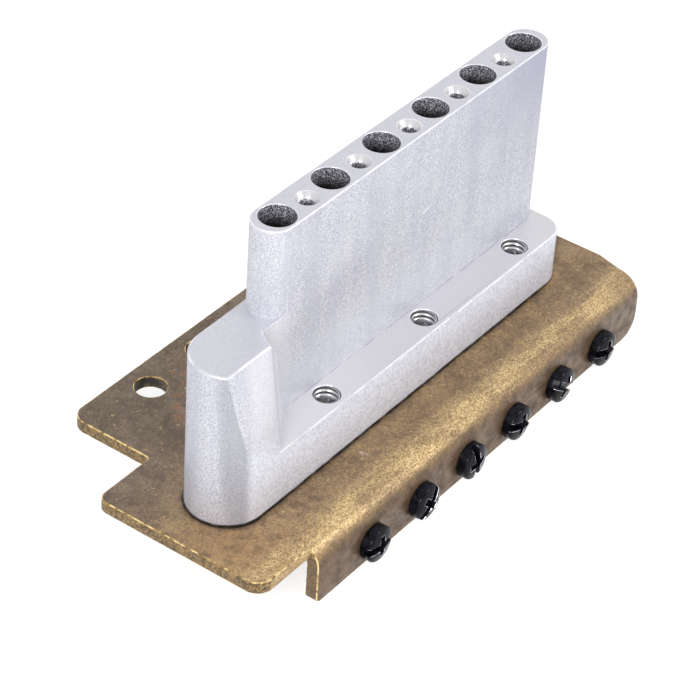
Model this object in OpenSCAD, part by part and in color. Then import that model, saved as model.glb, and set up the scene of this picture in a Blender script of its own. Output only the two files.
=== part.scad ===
/* [Strings] */
// Distance from one string to the next
string_pitch = 10.5; // [10.2:0.05:10.8]
// From the far end of the plate to the last string
string_inset = 10.9; // [9.5:0.1:12.5]
// From the front edge of the plate to the row of strings
string_setback = 22.95; // [21:0.05:25]
// Radius of the bore that takes the ball end of a string
string_bore_r = 2.4; // [2.2:0.05:2.6]
// Depth of that bore below the top of the block
string_bore_depth = 28; // [20:0.5:30]
// Radius of the narrow hole where a string leaves
string_exit_r = 1.2; // [0.9:0.05:1.5]

/* [Plate] */
// Length of the plate along the strings' row, with the ear
plate_len = 84.6; // [82:0.1:90]
// From the front edge of the plate to the outer face of the lip
plate_depth = 39.8; // [38:0.1:43]
// Thickness of the sheet
plate_t = 1.8; // [1.4:0.05:2.1]
// Radius of the front corners
plate_corner_r = 2.2; // [1:0.1:4]
// Length of the ear under the arm boss
ear_len = 10.05; // [8:0.05:12]
// From the front edge of the plate back to the ear
ear_setback = 13.1; // [11:0.1:15]
// From the rear edge of the ear to the outer face of the lip
ear_rear_gap = 1.15; // [0.8:0.05:2]
// Radius of the ear's front corner
ear_front_r = 1.4; // [0.8:0.1:2.5]
// Radius of the ear's rear corner
ear_rear_r = 2.3; // [1:0.1:3]
// Fillet between the ear and the front strip
notch_fillet_r = 0.5; // [0.2:0.1:2]

/* [Pivot holes] */
// From the front edge of the plate to the row of pivot holes
pivot_setback = 4.07; // [3.6:0.01:6]
// Radius of a pivot hole
pivot_hole_r = 2.14; // [1.8:0.01:2.4]

/* [Lip] */
// Height of the lip, to the upper face of the plate
lip_h = 9; // [8.6:0.1:11]
// Outer radius of the bend
bend_r = 3.4; // [2.8:0.1:4]
// How far the lip's far end stands back from the plate's
lip_inset = 1.05; // [0.6:0.05:2]
// Length of the slanted corner that leads to that step
lip_ease_len = 3.9; // [2:0.1:6]
// Radius of the lip's far lower corner
lip_far_r = 3; // [1.5:0.1:3.5]
// Radius of the lip's near lower corner
lip_near_r = 1; // [0.5:0.1:2]

/* [Block] */
// Height of the string wall above the plate
block_h = 35.5; // [33:0.5:40]
// Thickness of the string wall
wall_t = 5.7; // [5.5:0.1:6.2]
// How far the wall runs past the outer strings
wall_over = 3.65; // [3.5:0.05:4.2]
// Height of the screw ledge above the plate
ledge_h = 8; // [6:0.1:10]
// From the strings' row to the outer face of the ledge
ledge_reach = 7.7; // [7.6:0.05:8.2]
// Radius of the ledge's far corner
ledge_corner_r = 3.3; // [1:0.1:4]

/* [Arm boss] */
// Height of the arm boss above the plate
boss_h = 22.85; // [20:0.05:26]
// From the first string to the axis of the boss
boss_offset = 11.1; // [9.8:0.1:12]
// From the strings' row to the boss's leaning face, at the top of the boss
boss_top_reach = 5.3; // [4.8:0.1:6]
// Height above the ledge where that leaning face starts
lean_rise = 0.1; // [0.05:0.05:2]
// From the first string to the cheek's top edge, where it meets the wall
cheek_top_wall = 5.9; // [5:0.1:6.5]
// From the first string to the cheek's top edge, where it meets the leaning face
cheek_top_out = 7.3; // [6.8:0.1:8]
// From the first string to the cheek's foot, where it meets the wall
cheek_foot_wall = 0.8; // [0:0.1:2]
// From the first string to the cheek's foot, where it meets the leaning face
cheek_foot_out = 7.6; // [7:0.1:8]
// From the first string to the cheek's upper part, a third of the way down
cheek_mid_wall = 2.75; // [2.5:0.05:3.5]
// Radius of the threaded socket for the arm, to the middle of its thread
arm_thread_r = 2.675; // [2.4:0.005:2.8]
// Depth of the arm's socket in the boss
arm_socket_depth = 18; // [12:0.5:20]
// Room round the arm where it passes the plate
arm_plate_room = 0.4; // [0.1:0.05:0.8]

/* [Spring hooks] */
// Radius of a hook hole in the top of the block
hook_r = 0.85; // [0.7:0.05:1.1]
// Depth of a hook hole
hook_depth = 12; // [6:0.5:16]
// Radius of a hook hole's countersunk mouth
hook_mouth_r = 1.6; // [1.3:0.05:2]
// How far the hook holes lie behind the strings' row
hook_setback = 0.45; // [0:0.05:0.8]

/* [Block screws] */
// Radius of a block screw, to the middle of its thread
block_thread_r = 1.77; // [1.5:0.01:1.9]
// Length of a block screw
block_screw_len = 8; // [6:0.5:9]
// From the strings' row to the block screws
block_screw_setback = 5.11; // [4.9:0.01:5.4]
// Radius of a block screw's flat head
block_head_r = 3.5; // [3.2:0.05:3.6]
// How deep that head is sunk below the plate's face
block_head_sink = 0.05; // [0.02:0.01:0.2]
// Width of the cross recess in that head
cross_w = 0.9; // [0.6:0.05:1.2]
// Depth of the cross recess
cross_depth = 1.1; // [0.6:0.05:1.4]

/* [Intonation screws] */
// Height of the screws above the foot of the lip
screw_z = 3; // [2.9:0.05:3.3]
// Outer radius of the thread
screw_r = 1.25; // [1.15:0.01:1.3]
// Radius to the middle of the thread
screw_thread_r = 1.1; // [1:0.01:1.14]
// Length of the plain neck under the head
screw_neck_len = 2.4; // [2.2:0.1:3]
// Length of the screw under its head
screw_len = 13.2; // [12.4:0.1:14]
// Radius of the pan head
head_r = 2.5; // [2.2:0.05:2.8]
// Height of the pan head
head_h = 1.9; // [1.6:0.05:2.2]
// Radius of the ball that domes the head
head_dome_r = 7; // [3:0.1:9]
// Width of the slot in the head
slot_w = 1.1; // [0.5:0.05:1.3]
// Depth of the slot
slot_depth = 1.2; // [0.5:0.05:1.3]
// Width of the cross recess in the head
recess_w = 0.9; // [0.5:0.05:1]
// Depth of that recess
recess_depth = 1.3; // [0.8:0.05:1.4]
// Distance that a saddle travels each way from its middle place
saddle_travel = 2.5; // [1.5:0.1:2.8]

/* [Springs] */
// Diameter of the spring wire
wire_d = 0.5; // [0.4:0.01:0.55]
// Radius of the coil, to the middle of the wire
coil_r = 1.8; // [1.7:0.05:2]
// Number of curls
coil_turns = 4; // [3:0.5:5]

/* [Saddles] */
// Gap between neighbouring saddles
saddle_gap = 0.4; // [0.3:0.05:0.8]
// Thickness of the saddle's sheet
saddle_t = 1.2; // [1:0.05:1.3]
// From the strings' row back to the rear face of the saddle
saddle_back = 8.5; // [8:0.1:9]
// Height of the sheet's lower face above the foot of the lip
sheet_z = 0.4; // [0.25:0.05:0.5]
// Outer radius of the saddle's rear bend
saddle_bend_r = 1.7; // [1.4:0.1:2]
// Room between the saddle's rear tab and the plate
tab_room = 0.8; // [0.4:0.1:1.4]
// From the strings' row forward to the middle of the crown
crown_y = 8.3; // [8:0.1:9]
// Radius of the crown
crown_r = 2.4; // [2.2:0.1:2.8]
// Height of the short apron in front of the crown
apron_h = 1.8; // [0.5:0.1:2.5]
// Width of the slot that the string passes through
saddle_slot_w = 2.8; // [2.2:0.1:3.1]
// Length of that slot
saddle_slot_len = 7.4; // [6:0.1:7.6]
// From the strings' row back to the middle of that slot
saddle_slot_back = 0.5; // [0.3:0.1:1]

/* [Height screws] */
// Radius of a grub screw, to the middle of its thread
grub_r = 1.34; // [1.2:0.01:1.4]
// From the string to a grub screw's axis, sideways
grub_side = 3.1; // [2.95:0.05:3.2]
// From the strings' row forward to the grub screws
grub_y = 5; // [4.9:0.1:5.3]
// How far a grub screw's socket end stands inside the sheet
grub_sunk = 0.15; // [0:0.05:0.4]
// Width of the hexagonal socket across its flats
hex_af = 1.5; // [1.2:0.05:1.6]
// Depth of the hexagonal socket
hex_depth = 1.5; // [1:0.1:2]

/* [Clearances] */
// Room between a screw and the hole it is threaded in
thread_gap = 0.04; // [0.02:0.01:0.08]
// Room round a screw in the plain hole it turns in
turn_gap = 0.08; // [0.04:0.01:0.1]
// Gap between faces that rub or rest on each other
face_gap = 0.03; // [0.01:0.01:0.06]

/* [Hidden] */
$fn = 48;
cut = 0.5;
string_count = 6;

// Heights: the foot of the lip and the saddles' crowns stand on z = 0
plate_top = lip_h;
plate_under = lip_h - plate_t;
block_top = plate_top + block_h;
ledge_top = plate_top + ledge_h;
boss_top = plate_top + boss_h;

// Lengths along X: the plate is centred, its ear at -X
plate_far = plate_len / 2;
plate_near = -plate_len / 2;
strip_near = plate_near + ear_len;
lip_far = plate_far - lip_inset;
function string_x(i) = plate_far - string_inset - (string_count - 1 - i) * string_pitch;
row_mid = (string_x(0) + string_x(string_count - 1)) / 2;
boss_x = string_x(0) - boss_offset;

// Depths along Y: the front edge is at +Y, the screw heads at -Y
whole_depth = plate_depth + face_gap + head_h;
plate_front = whole_depth / 2;
lip_face = plate_front - plate_depth;
string_y = plate_front - string_setback;
pivot_y = plate_front - pivot_setback;
bend_y = lip_face + bend_r;
bend_z = plate_top - bend_r;
ear_front = plate_front - ear_setback;
ear_rear = lip_face + ear_rear_gap;
hook_y = string_y - hook_setback;
ledge_face = string_y - ledge_reach;
block_screw_y = string_y - block_screw_setback;
boss_r = (ledge_reach + wall_t / 2) / 2;
boss_y = string_y + wall_t / 2 - boss_r;

// Fits
block_hole_r = block_thread_r + thread_gap;
arm_plate_r = arm_thread_r + thread_gap + arm_plate_room;
lip_hole_r = screw_r + turn_gap;
tab_hole_r = screw_thread_r + thread_gap;
grub_hole_r = grub_r + thread_gap;
plate_exit_r = string_exit_r + 0.3;

// Saddles, springs and screws
saddle_w = string_pitch - saddle_gap;
tab_rear = string_y - saddle_back;
tab_top = plate_under - tab_room;
lip_inner = lip_face + plate_t;
spring_from = lip_inner + face_gap;
spring_to = tab_rear - face_gap;
grub_from = sheet_z + grub_sunk;
grub_to = plate_under - face_gap;
head_under = lip_face - face_gap;
screw_turns = [1, -48, 84, 14, 32, 11];

// Cutter that squares off an outer corner down to a round of radius r; sx and sy point inwards
module corner_cut(x, y, r, sx, sy) {
    translate([x, y]) difference() {
        translate([sx > 0 ? -cut : -r, sy > 0 ? -cut : -r]) square(r + cut);
        translate([sx * r, sy * r]) circle(r);
    }
}

// Everything beyond the plane through three points, on the side that the plane's normal points to
module beyond(p, q, r) {
    n = cross(q - p, r - p);
    reach = 60;
    translate(p) rotate([0, acos(n[2] / norm(n)), atan2(n[1], n[0])])
        translate([-reach / 2, -reach / 2, 0]) cube(reach);
}

module plate_outline() {
    difference() {
        union() {
            translate([strip_near, bend_y]) square([plate_far - strip_near, plate_front - bend_y]);
            translate([plate_near, ear_rear])
                square([ear_len + cut, ear_front - ear_rear]);
            translate([strip_near - notch_fillet_r, ear_front]) difference() {
                translate([0, -cut]) square([notch_fillet_r + cut, notch_fillet_r + cut]);
                translate([0, notch_fillet_r]) circle(notch_fillet_r);
                translate([-cut, notch_fillet_r]) square(cut + notch_fillet_r);
            }
        }
        corner_cut(strip_near, plate_front, plate_corner_r, 1, -1);
        corner_cut(plate_far, plate_front, plate_corner_r, -1, -1);
        corner_cut(plate_near, ear_front, ear_front_r, 1, -1);
        corner_cut(plate_near, ear_rear, ear_rear_r, 1, 1);
        polygon([[plate_far + cut, bend_y - cut], [plate_far + cut, bend_y + lip_ease_len],
            [plate_far, bend_y + lip_ease_len], [lip_far, bend_y], [lip_far, bend_y - cut]]);
        translate([strip_near, ear_rear - cut])
            square([plate_far - strip_near, bend_y - ear_rear + cut]);
    }
}

module lip_profile() {
    intersection() {
        translate([bend_y, bend_z]) difference() {
            circle(bend_r);
            circle(bend_r - plate_t);
        }
        translate([lip_face - cut, bend_z]) square([bend_r + cut, bend_r + cut]);
    }
    translate([lip_face, 0]) square([plate_t, bend_z]);
}

module base_plate() color([0.52, 0.45, 0.35]) difference() {
    union() {
        translate([0, 0, plate_under]) linear_extrude(plate_t) plate_outline();
        translate([strip_near, 0, 0]) rotate([90, 0, 90])
            linear_extrude(lip_far - strip_near) lip_profile();
    }
    translate([0, lip_face - cut, 0]) rotate([90, 0, 0]) mirror([0, 0, 1])
        linear_extrude(plate_t + 2 * cut) {
            corner_cut(strip_near, 0, lip_near_r, 1, 1);
            corner_cut(lip_far, 0, lip_far_r, -1, 1);
        }
    for (i = [0 : string_count - 1]) {
        translate([string_x(i), pivot_y, plate_under - cut]) cylinder(r = pivot_hole_r, h = plate_t + 2 * cut);
        translate([string_x(i), string_y, plate_under - cut]) cylinder(r = plate_exit_r, h = plate_t + 2 * cut);
        translate([string_x(i), lip_face - cut, screw_z]) rotate([-90, 0, 0])
            cylinder(r = lip_hole_r, h = plate_t + 2 * cut);
    }
    for (k = [0 : 2]) translate([string_x(2 * k) + string_pitch / 2, block_screw_y, 0]) {
        translate([0, 0, plate_under - cut]) cylinder(r = block_hole_r, h = plate_t + 2 * cut);
        translate([0, 0, plate_under - cut])
            cylinder(r1 = block_head_r + cut + block_head_sink + face_gap * 1.5,
                r2 = block_thread_r, h = block_head_r - block_thread_r + cut + block_head_sink + face_gap * 1.5);
    }
    translate([boss_x, boss_y, plate_under - cut]) cylinder(r = arm_plate_r, h = plate_t + 2 * cut);
}

module boss_body() {
    top_a = [string_x(0) - cheek_top_out, string_y - boss_top_reach, boss_top];
    top_b = [string_x(0) - cheek_top_wall, string_y - wall_t / 2, boss_top];
    foot_a = [string_x(0) - cheek_foot_out, ledge_face, ledge_top];
    foot_b = [string_x(0) - cheek_foot_wall, string_y - wall_t / 2, ledge_top];
    mid = [string_x(0) - cheek_mid_wall, string_y - wall_t / 2, boss_top - (boss_top - ledge_top) / 3];
    difference() {
        translate([boss_x, boss_y, plate_top]) linear_extrude(boss_h) {
            circle(boss_r);
            translate([0, -boss_r]) square([boss_offset, 2 * boss_r]);
        }
        beyond([boss_x, top_a[1], boss_top], [boss_x, ledge_face, ledge_top + lean_rise],
            [boss_x + 1, top_a[1], boss_top]);
        intersection() {
            union() {
                beyond(top_b, top_a, mid);
                beyond(foot_a, foot_b, mid);
            }
            translate([boss_x, string_y - wall_t / 2 - 2 * boss_r, plate_top - cut])
                cube([boss_offset + cut, 2 * boss_r, boss_h + 2 * cut]);
        }
    }
}

module sustain_block() color([0.66, 0.65, 0.67]) difference() {
    union() {
        translate([0, 0, plate_top]) {
            for (i = [0, string_count - 1])
                translate([string_x(i) + (i == 0 ? -1 : 1) * (wall_over - wall_t / 2), string_y, 0])
                    cylinder(r = wall_t / 2, h = block_h);
            translate([string_x(0) - wall_over + wall_t / 2, string_y - wall_t / 2, 0])
                cube([string_x(string_count - 1) - string_x(0) + 2 * wall_over - wall_t, wall_t, block_h]);
            linear_extrude(ledge_h) difference() {
                translate([boss_x + boss_r / 2, ledge_face])
                    square([string_x(string_count - 1) + wall_over - boss_x - boss_r / 2, ledge_reach]);
                corner_cut(string_x(string_count - 1) + wall_over, ledge_face, ledge_corner_r, -1, 1);
            }
        }
        boss_body();
    }
    for (i = [0 : string_count - 1]) translate([string_x(i), string_y, 0]) {
        translate([0, 0, block_top - string_bore_depth]) cylinder(r = string_bore_r, h = string_bore_depth + cut);
        translate([0, 0, plate_top - cut]) cylinder(r = string_exit_r, h = block_h);
    }
    for (i = [0 : string_count - 2]) translate([string_x(i) + string_pitch / 2, hook_y, block_top]) {
        translate([0, 0, -hook_depth]) cylinder(r = hook_r, h = hook_depth + cut);
        translate([0, 0, hook_r - hook_mouth_r])
            cylinder(r1 = hook_r, r2 = hook_mouth_r + cut, h = hook_mouth_r - hook_r + cut);
    }
    for (k = [0 : 2]) translate([string_x(2 * k) + string_pitch / 2, block_screw_y, plate_top - cut])
        cylinder(r = block_hole_r, h = ledge_h + cut + 1.2);
    translate([boss_x, boss_y, plate_top - cut]) cylinder(r = arm_thread_r, h = arm_socket_depth + cut);
}

module cross_recess(w, len, depth) {
    for (a = [0, 90]) rotate(a) translate([-len / 2, -w / 2, -cut]) cube([len, w, depth + cut]);
}

module block_screw(k) color([0.45, 0.45, 0.46])
    translate([string_x(2 * k) + string_pitch / 2, block_screw_y, plate_under + block_head_sink]) difference() {
        union() {
            cylinder(r1 = block_head_r, r2 = block_thread_r, h = block_head_r - block_thread_r);
            cylinder(r = block_thread_r, h = block_screw_len - 0.4);
            translate([0, 0, block_screw_len - 0.4])
                cylinder(r1 = block_thread_r, r2 = block_thread_r - 0.4, h = 0.4);
        }
        cross_recess(cross_w, block_head_r * 1.1, cross_depth);
    }

module intonation_screw(i) color([0.05, 0.05, 0.06])
    translate([string_x(i), head_under, screw_z]) rotate([-90, 0, 0]) difference() {
        union() {
            intersection() {
                translate([0, 0, -head_h]) cylinder(r = head_r, h = head_h);
                translate([0, 0, head_dome_r - head_h]) sphere(head_dome_r);
            }
            cylinder(r = screw_r, h = screw_neck_len);
            cylinder(r = screw_thread_r, h = screw_len - 0.3);
            translate([0, 0, screw_len - 0.3])
                cylinder(r1 = screw_thread_r, r2 = screw_thread_r - 0.3, h = 0.3);
        }
        translate([0, 0, -head_h]) rotate(screw_turns[i]) {
            translate([-head_r - cut, -slot_w / 2, -cut]) cube([2 * head_r + 2 * cut, slot_w, slot_depth + cut]);
            cross_recess(recess_w, head_r * 1.2, recess_depth);
        }
    }

// A coil of wire as one tube: straight run, curls, straight run
RING = 6;
STEPS = 8;
function rise(s) = s * s * (3 - 2 * s);
function coil_len() = spring_to - spring_from;
function curl_count() = coil_turns * STEPS;
function coil_point(k) =
    let (a = 360 * k / STEPS, y = wire_d * 1.5 + (coil_len() - 3 * wire_d) * k / curl_count())
    [coil_r * cos(a), y, coil_r * sin(a)];
function coil_path() = concat(
    [[coil_r, 0, 0], [coil_r, wire_d, 0]],
    [for (k = [1 : curl_count() - 1]) coil_point(k)],
    [[coil_r * cos(360 * coil_turns), coil_len() - wire_d, coil_r * sin(360 * coil_turns)],
     [coil_r * cos(360 * coil_turns), coil_len(), coil_r * sin(360 * coil_turns)]]);
function unit(v) = v / norm(v);
function along(p, i) = i == 0 || i == 1 || i >= len(p) - 2 ? [0, 1, 0] : unit(p[i + 1] - p[i - 1]);
function outward(p, i) = unit([p[i][0], 0, p[i][2]]);
function ring_at(p, i) =
    let (t = along(p, i), o = unit(outward(p, i) - (outward(p, i) * t) * t), b = cross(t, o))
    [for (s = [0 : RING - 1]) p[i] + wire_d / 2 * (cos(360 * s / RING) * o + sin(360 * s / RING) * b)];
function tube_faces(n) = concat(
    [for (s = [1 : RING - 2]) [0, s + 1, s]],
    [for (i = [0 : n - 2], s = [0 : RING - 1], half = [0, 1])
        let (a = i * RING + s, b = i * RING + (s + 1) % RING, c = a + RING, d = b + RING)
        half == 0 ? [a, b, d] : [a, d, c]],
    [for (s = [1 : RING - 2]) let (e = (n - 1) * RING) [e, e + s, e + s + 1]]);
function coil_gap() =
    let (p = [for (k = [1 : curl_count() - 1]) coil_point(k)])
    min([for (i = [0 : len(p) - 1], j = [i + STEPS / 2 : 1 : len(p) - 1]) norm(p[j] - p[i])]) - wire_d;
echo(least_gap_of_spring_to_itself = coil_gap());

module intonation_spring(i) color([0.6, 0.6, 0.62])
    translate([string_x(i), spring_from, screw_z]) {
        path = coil_path();
        polyhedron(points = [for (k = [0 : len(path) - 1]) each ring_at(path, k)], faces = tube_faces(len(path)));
    }

module saddle_profile() {
    inner_r = crown_r - saddle_t;
    difference() {
        union() {
            translate([-saddle_back + saddle_bend_r, sheet_z])
                square([saddle_back - saddle_bend_r + crown_y - inner_r * 0.78, saddle_t]);
            translate([-saddle_back, sheet_z + saddle_bend_r])
                square([saddle_t, tab_top - sheet_z - saddle_bend_r]);
            intersection() {
                translate([-saddle_back + saddle_bend_r, sheet_z + saddle_bend_r]) difference() {
                    circle(saddle_bend_r);
                    circle(saddle_bend_r - saddle_t);
                }
                translate([-saddle_back - cut, sheet_z - cut]) square(saddle_bend_r + cut);
            }
            intersection() {
                translate([crown_y, crown_r]) difference() {
                    circle(crown_r);
                    circle(inner_r);
                }
                union() {
                    translate([crown_y, 0]) square(crown_r);
                    translate([crown_y - crown_r, 0]) square([crown_r, sheet_z + saddle_t]);
                }
            }
            translate([crown_y + inner_r, crown_r]) square([saddle_t, apron_h]);
        }
    }
}

module saddle(i) color([0.62, 0.61, 0.6]) translate([string_x(i), string_y, 0]) difference() {
    translate([-saddle_w / 2, 0, 0]) rotate([90, 0, 90]) linear_extrude(saddle_w) saddle_profile();
    translate([0, -saddle_back - cut, screw_z]) rotate([-90, 0, 0])
        cylinder(r = tab_hole_r, h = saddle_t + 2 * cut);
    translate([0, -saddle_slot_back, sheet_z - cut]) {
        for (s = [-1, 1]) translate([0, s * (saddle_slot_len - saddle_slot_w) / 2, 0])
            cylinder(r = saddle_slot_w / 2, h = saddle_t + 2 * cut);
        translate([-saddle_slot_w / 2, -(saddle_slot_len - saddle_slot_w) / 2, 0])
            cube([saddle_slot_w, saddle_slot_len - saddle_slot_w, saddle_t + 2 * cut]);
    }
    for (s = [-1, 1]) translate([s * grub_side, grub_y, sheet_z - cut])
        cylinder(r = grub_hole_r, h = saddle_t + 2 * cut);
}

module grub(i, side) color([0.4, 0.4, 0.42])
    translate([string_x(i) + side * grub_side, string_y + grub_y, 0]) difference() {
        union() {
            translate([0, 0, grub_from]) cylinder(r = grub_r, h = grub_to - grub_from - 0.4);
            translate([0, 0, grub_to - 0.4]) cylinder(r1 = grub_r, r2 = grub_r - 0.4, h = 0.4);
        }
        translate([0, 0, grub_from - cut])
            cylinder(r = hex_af / sqrt(3), h = hex_depth + cut, $fn = 6);
    }

base_plate();
sustain_block();
block_screw(0);  // block_screw_1
block_screw(1);  // block_screw_2
block_screw(2);  // block_screw_3
intonation_screw(0);  // intonation_screw_1
intonation_screw(1);  // intonation_screw_2
intonation_screw(2);  // intonation_screw_3
intonation_screw(3);  // intonation_screw_4
intonation_screw(4);  // intonation_screw_5
intonation_screw(5);  // intonation_screw_6
intonation_spring(0);  // intonation_spring_1
intonation_spring(1);  // intonation_spring_2
intonation_spring(2);  // intonation_spring_3
intonation_spring(3);  // intonation_spring_4
intonation_spring(4);  // intonation_spring_5
intonation_spring(5);  // intonation_spring_6
saddle(0);  // saddle_1
saddle(1);  // saddle_2
saddle(2);  // saddle_3
saddle(3);  // saddle_4
saddle(4);  // saddle_5
saddle(5);  // saddle_6
grub(0, -1);  // saddle_1_grub_a
grub(0, 1);  // saddle_1_grub_b
grub(1, -1);  // saddle_2_grub_a
grub(1, 1);  // saddle_2_grub_b
grub(2, -1);  // saddle_3_grub_a
grub(2, 1);  // saddle_3_grub_b
grub(3, -1);  // saddle_4_grub_a
grub(3, 1);  // saddle_4_grub_b
grub(4, -1);  // saddle_5_grub_a
grub(4, 1);  // saddle_5_grub_b
grub(5, -1);  // saddle_6_grub_a
grub(5, 1);  // saddle_6_grub_b
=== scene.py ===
# Guitar tremolo bridge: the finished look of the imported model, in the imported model's own frame
import math

import bmesh
import bpy
from mathutils import Matrix, Vector


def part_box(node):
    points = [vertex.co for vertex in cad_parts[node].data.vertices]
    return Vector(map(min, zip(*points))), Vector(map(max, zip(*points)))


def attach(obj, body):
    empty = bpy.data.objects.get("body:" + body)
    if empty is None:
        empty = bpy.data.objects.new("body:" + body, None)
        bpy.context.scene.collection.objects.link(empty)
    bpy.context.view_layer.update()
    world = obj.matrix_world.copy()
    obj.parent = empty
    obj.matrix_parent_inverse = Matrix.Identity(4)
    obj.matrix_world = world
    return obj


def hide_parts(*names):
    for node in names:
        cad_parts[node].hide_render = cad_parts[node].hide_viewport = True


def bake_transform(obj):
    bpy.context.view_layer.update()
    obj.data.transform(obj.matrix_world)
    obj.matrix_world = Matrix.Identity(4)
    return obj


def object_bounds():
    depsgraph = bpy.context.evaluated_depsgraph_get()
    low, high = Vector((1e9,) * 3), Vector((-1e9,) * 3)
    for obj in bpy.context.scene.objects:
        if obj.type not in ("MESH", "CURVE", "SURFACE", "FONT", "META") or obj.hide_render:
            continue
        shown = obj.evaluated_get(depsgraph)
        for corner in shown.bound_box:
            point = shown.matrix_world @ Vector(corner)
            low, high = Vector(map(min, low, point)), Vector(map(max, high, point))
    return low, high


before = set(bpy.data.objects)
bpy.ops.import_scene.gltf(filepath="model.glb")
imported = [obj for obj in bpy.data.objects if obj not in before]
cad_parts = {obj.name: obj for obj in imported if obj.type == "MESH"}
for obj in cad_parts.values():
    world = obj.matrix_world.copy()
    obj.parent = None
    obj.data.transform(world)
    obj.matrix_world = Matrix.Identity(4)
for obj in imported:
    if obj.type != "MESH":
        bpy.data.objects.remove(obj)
cad_low, cad_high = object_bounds()

# Driving sizes, in metres, read from the frame where it holds them
MM = 0.001
STRINGS = range(1, 7)
plate_low, plate_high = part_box("base_plate")
block_low, block_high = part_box("sustain_block")
screw_boxes = [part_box(f"intonation_screw_{i}") for i in STRINGS]
string_x = [(low.x + high.x) / 2 for low, high in screw_boxes]
string_pitch = string_x[1] - string_x[0]
hook_x = [x + string_pitch / 2 for x in string_x[:-1]]
block_screw_boxes = [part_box(f"block_screw_{k}") for k in (1, 2, 3)]
block_screw_x = [(low.x + high.x) / 2 for low, high in block_screw_boxes]
PLATE_T = 1.8 * MM
BEND_R = 3.4 * MM
WALL_HALF_T = 2.85 * MM
plate_top = plate_high.z
plate_under = plate_top - PLATE_T
block_top = block_high.z
ledge_top = plate_top + 8 * MM
boss_top = plate_top + 22.85 * MM
lip_face = plate_low.y
lip_inner = lip_face + PLATE_T
bend_y = lip_face + BEND_R
bend_z = plate_top - BEND_R
ledge_face = block_low.y
string_y = ledge_face + 7.7 * MM
wall_y = string_y - WALL_HALF_T
hook_y = string_y - 0.45 * MM
block_screw_y = string_y - 5.11 * MM
pivot_y = plate_high.y - 4.07 * MM
boss_r = 5.275 * MM
boss_x = string_x[0] - 11.1 * MM
boss_y = string_y + WALL_HALF_T - boss_r
PIVOT_HOLE_R = 2.14 * MM
ARM_HOLE_R = 3.3 * MM
LIP_HOLE_R = 1.4 * MM
BORE_R = 2.4 * MM
HOOK_MOUTH_R = 1.6 * MM
HOOK_DEPTH = 13 * MM

# Threads: middle radius, pitch and depth of the ridge
BLOCK_THREAD_R = 1.77 * MM
SCREW_THREAD_R = 1.1 * MM
BLOCK_THREAD = (BLOCK_THREAD_R, 0.7 * MM, 0.34 * MM)
ARM_THREAD = (2.675 * MM, 1.0 * MM, 0.5 * MM)
SCREW_THREAD = (SCREW_THREAD_R, 0.45 * MM, 0.22 * MM)
GRUB_THREAD = (1.34 * MM, 0.5 * MM, 0.24 * MM)
THREAD_GAP = 0.04 * MM


def mm(*values):
    """A place given in millimetres, in metres."""
    return tuple(value * MM for value in values)


def colour(red, green, blue):
    """A colour given as it looks on a screen, 0 to 255, made linear."""
    def linear(value):
        share = value / 255
        return share / 12.92 if share <= 0.04045 else ((share + 0.055) / 1.055) ** 2.4
    return (linear(red), linear(green), linear(blue), 1.0)


class Maker:
    """Short calls that add nodes to one shader or geometry tree."""

    def __init__(self, tree):
        self.tree = tree

    def node(self, kind, values=None, **settings):
        made = self.tree.nodes.new(kind)
        for name, value in settings.items():
            setattr(made, name, value)
        for key, value in (values or {}).items():
            self.feed(made.inputs[key], value)
        return made

    def result(self, kind, values=None, **settings):
        return self.node(kind, values, **settings).outputs[0]

    def feed(self, socket, value):
        if isinstance(value, bpy.types.NodeSocket):
            self.tree.links.new(value, socket)
        else:
            socket.default_value = value

    def math(self, operation, a, b=0.0, clamp=False):
        return self.result("ShaderNodeMath", {0: a, 1: b}, operation=operation, use_clamp=clamp)

    def chain(self, operation, values):
        total = values[0]
        for value in values[1:]:
            total = self.math(operation, total, value)
        return total

    def times(self, *values):
        return self.chain("MULTIPLY", values)

    def plus(self, *values):
        return self.chain("ADD", values)

    def most(self, *values):
        return self.chain("MAXIMUM", values)

    def minus(self, a, b):
        return self.math("SUBTRACT", a, b)

    def over(self, a, b):
        return self.math("DIVIDE", a, b)

    def vector_math(self, operation, a, b=(0.0, 0.0, 0.0)):
        made = self.node("ShaderNodeVectorMath", {0: a, 1: b}, operation=operation)
        return made.outputs["Value" if operation in ("DISTANCE", "LENGTH", "DOT_PRODUCT") else "Vector"]

    def vector(self, x=0.0, y=0.0, z=0.0):
        return self.result("ShaderNodeCombineXYZ", {0: x, 1: y, 2: z})

    def fade(self, value, start, end, low=0.0, high=1.0):
        """low up to start, high from end, smooth between them."""
        limits = {"Value": value, "From Min": start, "From Max": end, "To Min": low, "To Max": high}
        return self.node("ShaderNodeMapRange", limits, interpolation_type="SMOOTHSTEP").outputs["Result"]

    def noise(self, vector, scale, detail=3.0, roughness=0.55):
        values = {"Vector": vector, "Scale": scale, "Detail": detail, "Roughness": roughness}
        return self.result("ShaderNodeTexNoise", values)

    def turned(self, vector, turn):
        """The vector turned about Z, by radians or by a turn vector."""
        rotation = (0.0, 0.0, turn) if isinstance(turn, float) else turn
        return self.result("ShaderNodeMapping", {"Vector": vector, "Rotation": rotation})

    def group(self, group, **values):
        return self.result("ShaderNodeGroup", values, node_tree=group)


def new_group(name, inputs, output):
    """An empty shader group with named inputs (None for a vector) and one output, and its Maker."""
    tree = bpy.data.node_groups.new(name, "ShaderNodeTree")
    for label, default in inputs.items():
        kind = "NodeSocketVector" if default is None else "NodeSocketFloat"
        socket = tree.interface.new_socket(label, in_out="INPUT", socket_type=kind)
        if default is not None:
            socket.default_value = default
    tree.interface.new_socket(output, in_out="OUTPUT", socket_type="NodeSocketFloat")
    maker = Maker(tree)
    return tree, maker, maker.node("NodeGroupInput").outputs


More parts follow.
